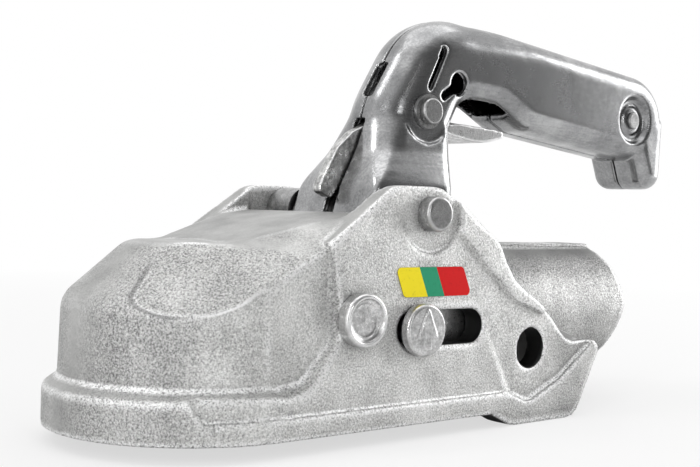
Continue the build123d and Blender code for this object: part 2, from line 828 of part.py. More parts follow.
arm_end = 30.2
arm_half = 7.5
neck_half = 5.0
fork_start = 21.0
fork_half = drive_r + fork_gap
lever_outline = [
    (59.8, flare_bottom - 0.4, 2), (*on_arm(12, -neck_half), 3), (*on_arm(17, -arm_half), 4),
    (*on_arm(arm_end, -arm_half), 2.5), (*on_arm(arm_end, -fork_half), 0.8), (*on_arm(fork_start, -fork_half), 3.5),
    (*on_arm(fork_start, fork_half), 3.5), (*on_arm(arm_end, fork_half), 0.8), (*on_arm(arm_end, arm_half), 2.5),
    (*on_arm(14, arm_half), 6), (72, 37, 8), (80, flare_bottom - 0.4, 4),
]
for side, name in ((-1, "lever_plate_left"), (1, "lever_plate_right")):
    with BuildPart() as lever_plate:
        start_y = lever_out if side > 0 else -lever_in
        extrude(profile(side_plane(0, start_y, 0), *lever_outline), amount=lever_t)
        chamfer(lever_plate.edges().filter_by(lambda edge: abs(abs(edge.center().Y) - lever_out) < 0.01), 0.6)
        add(across(pivot_x, pivot_z, pivot_r + running_gap, beyond, 2 * beyond), mode=Mode.SUBTRACT)
    lever_plate.part.label = name
    export_step(lever_plate.part, f"parts/{name}.step")

# Sleeves on the pivot pin, either side of the latch
for side, name in ((-1, "pivot_sleeve_left"), (1, "pivot_sleeve_right")):
    sleeve_start = lever_in if side > 0 else -sleeve_in
    with BuildPart() as pivot_sleeve:
        add(ring(pivot_x, pivot_z, sleeve_start, pivot_r + running_gap, sleeve_r, lever_in - sleeve_in))
    pivot_sleeve.part.label = name
    export_step(pivot_sleeve.part, f"parts/{name}.step")

# Latch pin with its washers, spacers and retaining ring
washer_y = grip_half + washer_t
with BuildPart() as latch_pin:
    add(headed_pin(latch_x, latch_z, latch_pin_r, washer_y + ring_t + 1.5, washer_y, latch_head_r, latch_head_h, 0.5))
latch_pin.part.label = "latch_pin"
export_step(latch_pin.part, "parts/latch_pin.step")

for name, outer_y in (("latch_washer_left", -grip_half), ("latch_washer_right", washer_y)):
    with BuildPart() as latch_washer:
        add(ring(latch_x, latch_z, outer_y, latch_pin_r, washer_r, washer_t))
    latch_washer.part.label = name
    export_step(latch_washer.part, f"parts/{name}.step")

with BuildPart() as latch_retaining_ring:
    add(ring(latch_x, latch_z, washer_y + ring_t, latch_pin_r, latch_pin_r + 2, ring_t))
latch_retaining_ring.part.label = "latch_retaining_ring"
export_step(latch_retaining_ring.part, "parts/latch_retaining_ring.step")

spacer_in = latch_half + 0.2
spacer_len = grip_half - shell_t - spacer_in
for name, outer_y in (("latch_spacer_left", -spacer_in), ("latch_spacer_right", spacer_in + spacer_len)):
    with BuildPart() as latch_spacer:
        add(ring(latch_x, latch_z, outer_y, latch_pin_r, spacer_r, spacer_len))
    latch_spacer.part.label = name
    export_step(latch_spacer.part, f"parts/{name}.step")

# Latch spring, coiled round the far spacer, one leg on the latch and one in the grip
coil_r = spacer_r + 0.3 + latch_wire / 2
coil_start = spacer_in + latch_wire / 2 + 0.3
coil_len = spacer_len - latch_wire - 0.6
with BuildPart() as latch_spring:
    with BuildLine() as latch_coil:
        Helix(
            pitch=coil_len / latch_turns, height=coil_len, radius=coil_r,
            center=(latch_x, coil_start, latch_z), direction=(0, 1, 0),
        )
    with BuildSketch(Plane(origin=latch_coil.line @ 0, z_dir=latch_coil.line % 0)):
        Circle(latch_wire / 2)
    sweep(is_frenet=True)
latch_spring.part.label = "latch_spring"
export_step(latch_spring.part, "parts/latch_spring.step")

# Rivet through the end of the grip
rivet_y = grip_half - boss_depth
with BuildPart() as grip_rivet:
    add(across(recess_x, recess_z, rivet_r, rivet_y + rivet_head_h, 2 * (rivet_y + rivet_head_h)))
    for end_y in (rivet_y + rivet_head_h, -rivet_y):
        add(across(recess_x, recess_z, rivet_head_r, end_y, rivet_head_h))
    for end in (0, -1):
        fillet(grip_rivet.faces().sort_by(Axis.Y)[end].edges(), 0.6)
grip_rivet.part.label = "grip_rivet"
export_step(grip_rivet.part, "parts/grip_rivet.step")

# Latch lever, with its nose in front of the handle and its arm over the trigger
latch_outline = [
    (92, 84, 8), (78, 84, 8), (69.3, 71.5, 4), (62.2, 68.2, 5), (55.6, 62.5, 6), (48.2, 49.6, 1.2), (48.2, 47.2, 1.5),
    (53, 45, 1.5), (57, 49.5, 4), (64.5, 60, 5), (76, 67.5, 6), (88, 67.5, 6), (98.5, 70.8, 3), (126, 70.8, 1),
    (126, 73.3, 1), (108, 74.5, 6), (97, 80, 6),
]
with BuildPart() as latch_lever:
    extrude(profile(Plane.XZ, *latch_outline), amount=latch_half, both=True)
    add(across(latch_x, latch_z, latch_pin_r + running_gap, beyond, 2 * beyond), mode=Mode.SUBTRACT)
latch_lever.part.label = "latch_lever"
export_step(latch_lever.part, "parts/latch_lever.step")

# Trigger, a pressed channel under the arm of the latch
trigger_outline = [
    (99.5, 73, 1.5), (100.5, 69.3, 1.8), (112, 67.6, 30), (121, 67.3, 20), (130, 69.5, 1.2), (130.3, 72, 0.8),
    (124, 72.6, 8), (108, 73.4, 8),
]
with BuildPart() as trigger:
    extrude(profile(Plane.XZ, *trigger_outline), amount=trigger_half, both=True)
    extrude(
        profile(Plane.XZ, (98, 70.8, 0), (132, 70.8, 0), (132, 80, 0), (98, 80, 0)),
        amount=trigger_half - trigger_t, both=True, mode=Mode.SUBTRACT,
    )
trigger.part.label = "trigger"
export_step(trigger.part, "parts/trigger.step")

# Label on the near side wall, cut on the slant
label_outline = [(45.9, 24, label_r), (75.2, 24, label_r), (78.5, 14.8, label_r), (48.9, 14.8, label_r)]
with BuildPart() as wear_label:
    extrude(profile(side_plane(0, -30, 0), *label_outline), amount=30)
    extrude(
        profile(
            Plane.YZ, (-wall_y(30), 30, 0), (-wall_y(lean_start), lean_start, 0),
            (-wall_y(lean_start) - label_t, lean_start, 0), (-wall_y(30) - label_t, 30, 0),
        ),
        amount=120, mode=Mode.INTERSECT,
    )
wear_label.part.label = "wear_label"
export_step(wear_label.part, "parts/wear_label.step")
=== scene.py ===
import json
import math

import bpy
import numpy as np
from mathutils import Matrix, Vector


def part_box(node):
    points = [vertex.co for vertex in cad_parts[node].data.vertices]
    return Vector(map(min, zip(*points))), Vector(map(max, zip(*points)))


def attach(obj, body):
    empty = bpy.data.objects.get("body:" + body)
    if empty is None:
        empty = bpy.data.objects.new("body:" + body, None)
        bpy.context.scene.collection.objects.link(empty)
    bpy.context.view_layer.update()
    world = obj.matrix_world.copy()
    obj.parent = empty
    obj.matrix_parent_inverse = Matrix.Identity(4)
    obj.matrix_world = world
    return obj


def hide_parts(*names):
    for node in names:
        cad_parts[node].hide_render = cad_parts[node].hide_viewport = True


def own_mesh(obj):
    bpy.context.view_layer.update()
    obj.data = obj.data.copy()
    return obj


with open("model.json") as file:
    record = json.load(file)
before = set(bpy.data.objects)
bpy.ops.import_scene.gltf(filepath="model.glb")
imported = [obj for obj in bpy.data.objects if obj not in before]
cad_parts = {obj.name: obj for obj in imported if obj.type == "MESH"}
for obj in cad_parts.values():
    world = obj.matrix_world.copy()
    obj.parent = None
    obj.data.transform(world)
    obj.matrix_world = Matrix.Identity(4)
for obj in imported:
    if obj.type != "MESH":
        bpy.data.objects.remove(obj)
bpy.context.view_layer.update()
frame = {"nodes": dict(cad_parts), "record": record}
nodes = frame["nodes"]
MM = 0.001

# Camera fitted to the photograph, in the frame's axes, with its angles in degrees
IMAGE_WIDTH = 700
FOCAL_PX = 1161.07
SENSOR = 36.0
AZIMUTH, PITCH, ROLL = 40.33, 1.18, -1.52
CAMERA_AT = Vector((-195.0, -304.6, 41.4)) * MM

# Facets of the nose: how far out their plane lies in mm, and how it rises and turns from the side
FACET_OUT = 35.4
FACET_RISE, FACET_TURN = math.radians(44.4), math.radians(36.7)
FACET_NORMAL = (
    -math.cos(FACET_RISE) * math.sin(FACET_TURN),
    math.cos(FACET_RISE) * math.cos(FACET_TURN),
    math.sin(FACET_RISE),
)

# Gap between the dome and that plane which the skin fills, in mm. A pair says where the filling starts and
# where it is full: how far below the plane, along X from the front, and out to the side along Y
FILL_DEPTH = (7.0, 4.6)
FILL_FRONT = (-24.0, -14.0)
FILL_SIDE = (12.0, 18.0)
FILL_REAR = 1.2
FILL_LOW = 2.0

# What the filling stays within, in mm: the drafted side of the dome, and the ramp, which falls off sideways
DOME_FOOT, DOME_RADIUS, DOME_DRAFT = -25.0, 40.4, 0.031
RAMP_TOP, RAMP_EDGE, RAMP_FALL = 30.6, 22.0, 0.36

# Painted shadow line and painted highlight line round the facets, in mm. A pair says where they start and
# where they are full: how far below the plane, along X and along Z
RIM_BEGINS, RIM_ENDS = (0.08, 0.2), (0.75, 0.45)
RIM_REAR, RIM_TOP = (1.0, -7.0), (28.0, 24.0)
RIM_SHADOW, RIM_HIGHLIGHT = (-20.0, -26.0), (-20.0, -14.0)

# Indicator's slot in the side walls, in mm: its ends and half its height
SLOT_FRONT, SLOT_REAR, SLOT_HALF = 46.8, 84.8, 5.55

# How far out from the middle an opening's walls get painted shade, near black, and the margin round its
# outline, in mm
SHADE_OUT, SHADE_MARGIN = 43.0, 0.5

# Where along X, in mm, the side walls' tone turns into the tube's
TUBE_TONE = (112.0, 126.0)

# Colour borders of the label, in mm from its front end, and how far they lean forward for each mm of height
LABEL_BORDERS = (12.4, 19.8)
LABEL_LEAN = 0.35

# Level of metal's surroundings toward FRONT, and of the light that dull surfaces get from all round
FRONT = (0.05, -1.0, 0.0)
FRONT_LEVEL = 0.13
AMBIENT = 0.55

# Point that the lamps shine on, in metres
LIT_POINT = Vector((0.08, 0, 0.04))

# Floor in metres. The camera sees it whiten from FLOOR_WHITE near the object to full white far off
FLOOR_SIZE = 2.4
FLOOR_NEAR, FLOOR_FAR = 0.2, 0.9
FLOOR_WHITE = 0.65

WHITE = (1, 1, 1, 1)

# Rays that look for crevices, for their painted shade, and smoothing passes for the surface that edges stand
# out from, for their painted highlights
CREVICE_SAMPLES = 8
RELIEF_PASSES = 10


def named(rows, name):
    """The joint or mount of this name."""
    return next(row for row in rows if row["name"] == name)


def make_camera():
    """Camera at the photograph's place, angle and lens."""
    azimuth, pitch, roll = (math.radians(angle) for angle in (AZIMUTH, PITCH, ROLL))
    level_ahead = Vector((math.sin(azimuth), math.cos(azimuth), 0))
    ahead = level_ahead * math.cos(pitch) - Vector((0, 0, math.sin(pitch)))
    level = Vector((math.cos(azimuth), -math.sin(azimuth), 0))
    upright = level.cross(ahead)
    right = level * math.cos(roll) - upright * math.sin(roll)
    up = level * math.sin(roll) + upright * math.cos(roll)
    data = bpy.data.cameras.new("photo_camera")
    data.sensor_width = SENSOR
    data.sensor_fit = "HORIZONTAL"
    data.lens = SENSOR * FOCAL_PX / IMAGE_WIDTH
    data.clip_start, data.clip_end = 0.01, 50
    camera = bpy.data.objects.new("photo_camera", data)
    bpy.context.scene.collection.objects.link(camera)
    camera.matrix_world = Matrix.Translation(CAMERA_AT) @ Matrix((right, up, -ahead)).transposed().to_4x4()
    bpy.context.scene.camera = camera


# Node helpers


def grey(level):
    """Colour with its full alpha."""
    return (level, level, level, 1)


class Nodes:
    """Short calls for the nodes of a material or a world."""

    def __init__(self, owner):
        owner.use_nodes = True
        self.tree = owner.node_tree
        self.tree.nodes.clear()

    def node(self, kind, inputs=None, **settings):
        """New node, with each input linked to the socket or set to the value given."""
        made = self.tree.nodes.new("ShaderNode" + kind)
        for key, value in settings.items():
            setattr(made, key, value)
        for key, value in (inputs or {}).items():
            if isinstance(value, bpy.types.NodeSocket):
                self.tree.links.new(value, made.inputs[key])
            else:
                made.inputs[key].default_value = value
        return made

    def math(self, operation, a, b=0.0):
        return self.node("Math", {0: a, 1: b}, operation=operation).outputs[0]

    def times(self, product, *factors):
        for factor in factors:
            product = self.math("MULTIPLY", product, factor)
        return product

    def weighted(self, *terms):
        """Weighted sum of (value, weight) pairs."""
        total = self.times(*terms[0])
        for value, weight in terms[1:]:
            total = self.math("ADD", total, self.times(value, weight))
        return total

    def fade(self, value, start, end, low=0.0, high=1.0, **settings):
        """Level that goes from low to high as value goes from start to end, and no further."""
        limits = {"From Min": start, "From Max": end, "To Min": low, "To Max": high}
        return self.node("MapRange", {"Value": value, **limits}, **settings).outputs[0]

    def axes(self, vector):
        """The vector's X, Y and Z."""
        return tuple(self.node("SeparateXYZ", {"Vector": vector}).outputs)

    def light_share(self, low, high, *kinds):
        """Level that is high for the named kinds of ray and low for the others."""
        path = self.node("LightPath").outputs
        seen = path[kinds[0]]
        for kind in kinds[1:]:
            seen = self.math("MAXIMUM", seen, path[kind])
        return self.fade(seen, 0.0, 1.0, low, high)


class Shader(Nodes):
    """A Principled material with short calls for its textures."""

    def __init__(self, name, **values):
        self.material = bpy.data.materials.new(name)
        super().__init__(self.material)
        self.out = self.node("OutputMaterial")
        self.bsdf = self.node("BsdfPrincipled")
        self.tree.links.new(self.bsdf.outputs[0], self.out.inputs[0])
        self.coords = self.node("TexCoord").outputs["Object"]
        for key, value in values.items():
            self.bsdf.inputs[key.replace("_", " ")].default_value = value

    def link(self, output, name):
        self.tree.links.new(output, self.bsdf.inputs[name])

    def place(self):
        """X, Y and Z of the surface in mm."""
        scaled = self.node("VectorMath", {0: self.coords, "Scale": 1 / MM}, operation="SCALE")
        return self.axes(scaled.outputs["Vector"])

    def noise(self, size_mm, detail=2.0, roughness=0.5, stretch=(1, 1, 1)):
        """Noise whose blobs are about size_mm across, and stretch times as long along each axis."""
        spread = self.node("Mapping", {"Vector": self.coords, "Scale": [1 / times for times in stretch]})
        look = {"Scale": 1 / (size_mm * MM), "Detail": detail, "Roughness": roughness}
        return self.node("TexNoise", {"Vector": spread.outputs[0], **look}).outputs[0]

    def ramp(self, value, *stops):
        """Colour ramp with (place, colour) stops."""
        made = self.node("ValToRGB", {"Fac": value})
        elements = made.color_ramp.elements
        while len(elements) < len(stops):
            elements.new(0.5)
        for element, (place, colour) in zip(elements, stops):
            element.position = place
            element.color = colour
        return made.outputs[0]

    def mix(self, share, first, second, **settings):
        """Colour that is first where share is 0 and second where it is 1."""
        return self.node("MixRGB", {"Fac": share, "Color1": first, "Color2": second}, **settings).outputs[0]

    def tint(self, colour, by):
        return self.mix(1.0, colour, by, blend_type="MULTIPLY")

    def bump(self, height, depth_mm, strength, under=None):
        """Normal with the relief of height, on top of the normal under."""
        inputs = {"Height": height, "Distance": depth_mm * MM, "Strength": strength}
        if under is not None:
            inputs["Normal"] = under
        return self.node("Bump", inputs).outputs[0]

    def painted_shade_and_highlights(self, colour, reach_mm, darkest, edge_mm, polish, lit_above=0.8, grit=1.0, bare=0.0):
        """Colour with painted shade in its crevices and painted highlights on its edges.

        Crevices are felt out over reach_mm. Their painted shade goes down to the level darkest, and there is
        none where the share lit_above of the surroundings is open. An edge gets a painted highlight where it
        stands out by the first of edge_mm, and the highlight reaches the level polish at the second. grit
        breaks the highlights up. bare is the share of a shallow hollow that gets a painted highlight too,
        while a deep one gets a dark line of painted shade. Edges and hollows come from the mesh's attribute
        relief, which only skins have.
        """
        # Painted shade: darker where the surroundings close in, as shade falls in crevices
        crevice = self.node("AmbientOcclusion", {"Distance": reach_mm * MM}, samples=CREVICE_SAMPLES)
        painted_shade = self.ramp(crevice.outputs["AO"], (0.2, grey(darkest)), (lit_above, grey(1.0)))
        # Painted highlights on edges that stand out and on shallow hollows, and a dark line of painted shade
        # in deep hollows
        relief = self.node("Attribute", attribute_name="relief").outputs["Fac"]
        low, high = edge_mm
        edge = self.fade(relief, low, high)
        hollow = self.fade(relief, -low / 2, -high / 2)
        dip = self.fade(relief, -low, -2 * high, high=0.6)
        with_painted_shade = self.mix(dip, self.tint(colour, painted_shade), grey(0.06))
        bright = self.times(self.math("MAXIMUM", edge, self.times(hollow, bare)), grit)
        return self.mix(bright, with_painted_shade, grey(polish))


# Materials


def in_slot(shader, front, rear, level, half):
    """1 on the inner walls of a slot or a hole through the side walls, given in mm."""
    x, y, z = shader.place()
    along = shader.math("ABSOLUTE", shader.math("SUBTRACT", x, (front + rear) / 2))
    past = shader.math("MAXIMUM", shader.math("SUBTRACT", along, (rear - front) / 2 - half), 0.0)
    off = shader.math("SUBTRACT", z, level)
    away = shader.math("SQRT", shader.math("ADD", shader.times(past, past), shader.times(off, off)))
    within = shader.math("LESS_THAN", away, half + SHADE_MARGIN)
    return shader.times(within, shader.math("LESS_THAN", shader.math("ABSOLUTE", y), SHADE_OUT))


def shaded_inner_walls(shader):
    """1 on the inner walls of the indicator's slot and of the side bolt's hole, which get painted shade."""
    low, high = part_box("indicator_pin")
    slot = in_slot(shader, SLOT_FRONT, SLOT_REAR, (low.z + high.z) / 2 / MM, SLOT_HALF)
    bore = named(frame["record"]["mounts"], "side_bolt_bore")
    x, _, z = (metres / MM for metres in bore["pos_m"])
    radius = bore["dims"]["r_mm"]
    return shader.math("MAXIMUM", slot, in_slot(shader, x - radius, x + radius, z, radius))


def facet_rim(shader):
    """Shares of the painted shadow line and the painted highlight line round the facets of the nose, just
    below their plane.
    """
    x, y, z = shader.place()
    mirrored = shader.node("CombineXYZ", {0: x, 1: shader.math("ABSOLUTE", y), 2: z}).outputs[0]
    out = shader.node("VectorMath", {0: mirrored, 1: FACET_NORMAL}, operation="DOT_PRODUCT").outputs["Value"]
    below = shader.math("SUBTRACT", FACET_OUT, out)
    line = shader.times(shader.fade(below, *RIM_BEGINS), shader.fade(below, *RIM_ENDS))
    line = shader.times(line, shader.fade(x, *RIM_REAR), shader.fade(z, *RIM_TOP))
    return shader.times(line, shader.fade(x, *RIM_SHADOW)), shader.times(line, shader.fade(x, *RIM_HIGHLIGHT))


def cast_zinc():
    """Sandy casting under a dull silver zinc coat, coarser on the sides than on top."""
    shader = Shader("cast_zinc", Metallic=0.85)
    rearward, sideways, upward = shader.axes(shader.node("NewGeometry").outputs["Normal"])
    sideways = shader.math("ABSOLUTE", sideways)
    on_side = shader.fade(sideways, 0.0, 0.32)
    on_wall = shader.fade(sideways, 0.78, 0.96)
    not_on_top = shader.fade(upward, 0.86, 0.76)
    coarse = shader.times(on_side, not_on_top, shader.math("SUBTRACT", 1.05, shader.times(on_wall, 0.35)))
    coarse = shader.math("ADD", coarse, 0.18)

    # Sand of the casting, as a level round 0.5
    fine = shader.noise(0.3, detail=2.0, roughness=0.6)
    grain = shader.noise(0.62, detail=3.0, roughness=0.62)
    lumps = shader.noise(2.6, detail=2.0, roughness=0.5)
    blotch = shader.noise(15.0, detail=3.0, roughness=0.55)
    speck = shader.weighted((grain, 0.62), (fine, 0.38))
    swing = shader.times(shader.math("SUBTRACT", speck, 0.5), coarse)
    cloudy = shader.times(shader.math("SUBTRACT", blotch, 0.5), 0.25)
    level = shader.math("ADD", shader.math("ADD", swing, 0.5), cloudy)

    # Zinc coat, with painted shade where the surface turns off the flat of the walls, and darker on the tube
    tone = shader.ramp(
        level,
        (0.34, (0.25, 0.25, 0.247, 1)),
        (0.45, (0.51, 0.51, 0.505, 1)),
        (0.52, (0.68, 0.68, 0.67, 1)),
        (0.66, (1.0, 1.0, 0.99, 1)),
    )
    tone = shader.tint(tone, shader.ramp(on_wall, (0.0, grey(0.66)), (1.0, grey(0.98))))
    on_tube = shader.fade(shader.place()[0], *TUBE_TONE)
    tone = shader.tint(tone, shader.ramp(on_tube, (0.0, grey(1.0)), (1.0, grey(0.78))))

    # Painted highlights on edges, weaker where they face the rear, and on fillets where they face up, with
    # painted shade in crevices
    not_rearward = shader.fade(rearward, 0.5, 0.0, low=0.3)
    grit = shader.times(shader.ramp(speck, (0.4, grey(0.15)), (0.54, grey(1.0))), not_rearward)
    facing_up = shader.fade(upward, 0.15, 0.4)
    highlight_settings = {"edge_mm": (0.06, 0.28), "polish": 0.9, "grit": grit, "bare": facing_up}
    colour = shader.painted_shade_and_highlights(tone, reach_mm=9.0, darkest=0.07, lit_above=0.96, **highlight_settings)
    # Painted shadow as a dark line and painted highlight as a bright line round the facets
    rim_shadow, rim_highlight = facet_rim(shader)
    colour = shader.mix(shader.times(rim_shadow, 0.55), colour, grey(0.1))
    colour = shader.mix(shader.times(rim_highlight, 0.8), colour, grey(1.0))
    # Painted shade, near black, on the inner walls of the slot and the hole
    shader.link(shader.mix(shaded_inner_walls(shader), colour, grey(0.03)), "Base Color")

    shader.link(shader.ramp(level, (0.35, grey(0.62)), (0.62, grey(0.36))), "Roughness")
    height = shader.times(shader.weighted((grain, 0.75), (fine, 0.25)), coarse)
    lumpy = shader.bump(lumps, depth_mm=0.2, strength=0.4)
    shader.link(shader.bump(height, depth_mm=0.34, strength=0.85, under=lumpy), "Normal")
    return shader.material


def bright_zinc():
    """Pressed sheet steel with bright zinc plating, handling marks and specks."""
    shader = Shader("bright_zinc", Metallic=1.0)
    streak = shader.noise(0.9, detail=3.0, roughness=0.6, stretch=(10, 1, 1))
    cross = shader.noise(0.7, detail=2.0, roughness=0.6, stretch=(1, 1, 12.5))
    cloud = shader.noise(17.0, detail=4.0, roughness=0.58)
    speck = shader.noise(0.8, detail=2.0, roughness=0.7)
    level = shader.weighted((cloud, 0.6), (streak, 0.2), (speck, 0.2))
    tone = shader.ramp(
        level,
        (0.36, (0.2, 0.202, 0.206, 1)),
        (0.5, (0.32, 0.322, 0.326, 1)),
        (0.64, (0.5, 0.502, 0.505, 1)),
    )
    # Painted shade in crevices and painted highlights on edges
    colour = shader.painted_shade_and_highlights(tone, reach_mm=4.0, darkest=0.3, edge_mm=(0.5, 1.2), polish=0.38)
    shader.link(colour, "Base Color")
    shader.link(shader.ramp(level, (0.36, grey(0.3)), (0.62, grey(0.18))), "Roughness")
    marks = shader.weighted((streak, 0.4), (cross, 0.3), (speck, 0.3))
    wavy = shader.bump(cloud, depth_mm=0.35, strength=0.35)
    shader.link(shader.bump(marks, depth_mm=0.03, strength=0.5, under=wavy), "Normal")
    return shader.material


def dull_plating(name, dark, middle, bright, polish):
    """Turned and blanked steel with a duller zinc coat, with painted highlights at the level polish round
    its edges and painted shade in its crevices.
    """
    shader = Shader(name, Metallic=1.0)
    cloud = shader.noise(3.2, detail=4.0, roughness=0.62)
    speck = shader.noise(0.7, detail=2.0, roughness=0.7)
    level = shader.weighted((cloud, 0.6), (speck, 0.4))
    tone = shader.ramp(level, (0.36, grey(dark)), (0.5, grey(middle)), (0.64, grey(bright)))
    colour = shader.painted_shade_and_highlights(tone, reach_mm=3.0, darkest=0.35, edge_mm=(0.05, 0.18), polish=polish)
    shader.link(colour, "Base Color")
    shader.link(shader.ramp(level, (0.36, grey(0.42)), (0.62, grey(0.24))), "Roughness")
    wavy = shader.bump(cloud, depth_mm=0.08, strength=0.4)
    shader.link(shader.bump(speck, depth_mm=0.05, strength=0.5, under=wavy), "Normal")
    return shader.material


def tumbled_zinc():
    """Blanked and tumbled steel of the latch lever, mottled under bright plating."""
    shader = Shader("tumbled_zinc", Metallic=1.0)
    mottle = shader.noise(1.3, detail=4.0, roughness=0.65)
    cloud = shader.noise(6.0, detail=3.0, roughness=0.55)
    level = shader.weighted((mottle, 0.6), (cloud, 0.4))
    tone = shader.ramp(
        level,
        (0.38, (0.24, 0.24, 0.238, 1)),
        (0.5, (0.5, 0.5, 0.495, 1)),
        (0.6, (0.82, 0.82, 0.81, 1)),
    )
    # Painted shade in crevices and painted highlights on edges
    colour = shader.painted_shade_and_highlights(tone, reach_mm=3.0, darkest=0.35, edge_mm=(0.06, 0.25), polish=0.92)
    shader.link(colour, "Base Color")
    shader.link(shader.ramp(level, (0.36, grey(0.46)), (0.62, grey(0.24))), "Roughness")
    shader.link(shader.bump(mottle, depth_mm=0.16, strength=0.7), "Normal")
    return shader.material


def dark_steel():
    """Oiled forged steel inside the housing."""
    shader = Shader("dark_steel", Metallic=0.8)
    cloud = shader.noise(5.0, detail=4.0, roughness=0.6)
    shader.link(shader.ramp(cloud, (0.3, grey(0.03)), (0.7, grey(0.08))), "Base Color")
    shader.link(shader.ramp(cloud, (0.3, grey(0.35)), (0.7, grey(0.55))), "Roughness")
    shader.link(shader.bump(shader.noise(1.2, detail=3.0), depth_mm=0.08, strength=0.5), "Normal")
    return shader.material


def label_film():
    """Printed film in three plain colour zones, yellow, green and red, with slanted borders."""
    shader = Shader("label_film", Roughness=0.6, Specular_IOR_Level=0.2)
    x, _, z = shader.place()
    slanted = shader.weighted((x, 1.0), (z, LABEL_LEAN))
    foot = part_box("wear_label")[0] / MM
    front = foot.x + foot.z * LABEL_LEAN
    in_green, in_red = (shader.math("GREATER_THAN", slanted, front + border) for border in LABEL_BORDERS)
    zones = shader.mix(in_green, (0.8, 0.66, 0.012, 1), (0.02, 0.27, 0.14, 1))
    zones = shader.mix(in_red, zones, (0.58, 0.002, 0.003, 1))
    scuff = shader.ramp(shader.noise(1.4, detail=4.0, roughness=0.65), (0.32, grey(0.84)), (0.44, grey(1.0)))
    shader.link(shader.tint(zones, scuff), "Base Color")
    shader.link(shader.bump(shader.noise(1.6), depth_mm=0.02, strength=0.4), "Normal")
    return shader.material


def paint(mesh, material):
    """Gives the mesh this material alone."""
    mesh.materials.clear()
    mesh.materials.append(material)


def dress(material, *names):
    """Gives these nodes this material alone."""
    for name in names:
        paint(nodes[name].data, material)


def both(*names):
    """Names of the left and the right node of each kind."""
    return [f"{name}_{side}" for name in names for side in ("left", "right")]


# Skins


def faded(value, start, end):
    """Share that goes from 0 to 1 as value goes from start to end."""
    return np.clip((value - start) / (end - start), 0, 1)


class Surface:
    """A mesh's vertices as arrays, for moving and smoothing them."""

    def __init__(self, mesh):
        self.mesh = mesh
        self.count = len(mesh.vertices)
        place = np.empty(self.count * 3)
        mesh.vertices.foreach_get("co", place)
        self.place = place.reshape(-1, 3)
        ends = np.empty(len(mesh.edges) * 2, np.int32)
        mesh.edges.foreach_get("vertices", ends)
        ends = ends.reshape(-1, 2)
        self.from_end, self.to_end = np.concatenate([ends, ends[:, ::-1]]).T
        self.degree = np.maximum(np.bincount(self.to_end, minlength=self.count), 1)[:, None]

    def smoothed(self, passes, share=1.0):
        """Places of the vertices after smoothing, with each vertex's share of the move."""
        soft = self.place
        for _ in range(passes):
            total = [np.bincount(self.to_end, soft[self.from_end, axis], self.count) for axis in range(3)]
            soft = soft + share * (np.stack(total, axis=1) / self.degree - soft) / 2
        return soft

    def melt(self, low, high, margin, passes):
        """Smooths both sides in a box given in mm, and less and less over a margin round it."""
        point = self.place / MM
        point[:, 1] = np.abs(point[:, 1])
        outside = np.maximum(np.maximum(np.array(low) - point, point - np.array(high)), 0).max(axis=1)
        share = np.clip(1 - outside / margin, 0, 1)[:, None]
        self.place = self.smoothed(passes, share)

    def fill_facets(self):
        """Carries the facets of the nose on to the ramp, where the dome falls away below their plane."""
        normal = np.array(FACET_NORMAL)
        point = self.place / MM
        side = np.sign(point[:, 1])
        point[:, 1] *= side
        x, y, z = point.T
        below = FACET_OUT - point @ normal
        near = (x > FILL_FRONT[0]) & (x < FILL_REAR) & (z > FILL_LOW) & (below > 0) & (below < FILL_DEPTH[0])
        share = faded(below, *FILL_DEPTH) * faded(x, *FILL_FRONT) * faded(y, *FILL_SIDE)
        moved = point + normal * (below * share)[:, None]
        # No further out than the side of the dome, and no higher than the ramp
        radius = DOME_RADIUS - (moved[:, 2] - DOME_FOOT) * DOME_DRAFT
        limit = np.maximum(radius, np.hypot(x, y))
        moved[:, :2] *= np.minimum(1, limit / np.hypot(moved[:, 0], moved[:, 1]))[:, None]
        roof = RAMP_TOP - np.maximum(moved[:, 1] - RAMP_EDGE, 0) * RAMP_FALL
        moved[:, 2] = np.minimum(moved[:, 2], np.maximum(roof, z))
        point[near] = moved[near]
        point[:, 1] *= side
        self.place = point * MM

    def store(self):
        """Writes the places to the mesh, and how many mm each vertex stands out as the attribute relief."""
        self.mesh.vertices.foreach_set("co", self.place.ravel())
        self.mesh.update()
        normal = np.empty(self.count * 3)
        self.mesh.vertices.foreach_get("normal", normal)
        relief = ((self.place - self.smoothed(RELIEF_PASSES)) * normal.reshape(-1, 3)).sum(axis=1) / MM
        stored = self.mesh.attributes.new("relief", "FLOAT", "POINT")
        stored.data.foreach_set("value", relief.astype(np.float32))


def soften_housing(surface):
    """The facets go on to the ramp and melt into it."""
    surface.fill_facets()
    surface.melt(low=(-5, 18, 10), high=(3, 43, 33), margin=3, passes=20)


def soften_shell(surface):
    """The bends of the column melt together."""
    surface.melt(low=(50, 9, 44), high=(70, 24, 84), margin=4, passes=50)


def stand_in(node, ending):
    """Object with a copy of the node's mesh, named after it."""
    piece = bpy.data.objects.new(node + ending, nodes[node].data.copy())
    bpy.context.scene.collection.objects.link(piece)
    return piece


def soft_skin(node, body, material, voxel_mm, passes, keep, soften=None):
    """The node with its edges rounded as casting or pressing leaves them, with a share keep of its faces."""
    skin = stand_in(node, "_skin")
    remesh = skin.modifiers.new("remesh", "REMESH")
    remesh.mode = "VOXEL"
    remesh.voxel_size = voxel_mm * MM
    smooth = skin.modifiers.new("smooth", "SMOOTH")
    smooth.factor = 0.5
    smooth.iterations = passes
    fewer = skin.modifiers.new("fewer", "DECIMATE")
    fewer.ratio = keep
    depsgraph = bpy.context.evaluated_depsgraph_get()
    skin.data = bpy.data.meshes.new_from_object(skin.evaluated_get(depsgraph))
    skin.modifiers.clear()
    skin.data.shade_smooth()
    paint(skin.data, material)
    surface = Surface(skin.data)
    if soften:
        soften(surface)
    surface.store()
    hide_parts(node)
    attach(skin, body)


def squeezed_spring(material):
    """The main spring, as a copy of its node's mesh on the root body."""
    spring = stand_in("main_spring", "_coil")
    paint(spring.data, material)
    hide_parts("main_spring")
    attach(spring, "root")
    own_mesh(spring)


# Stage


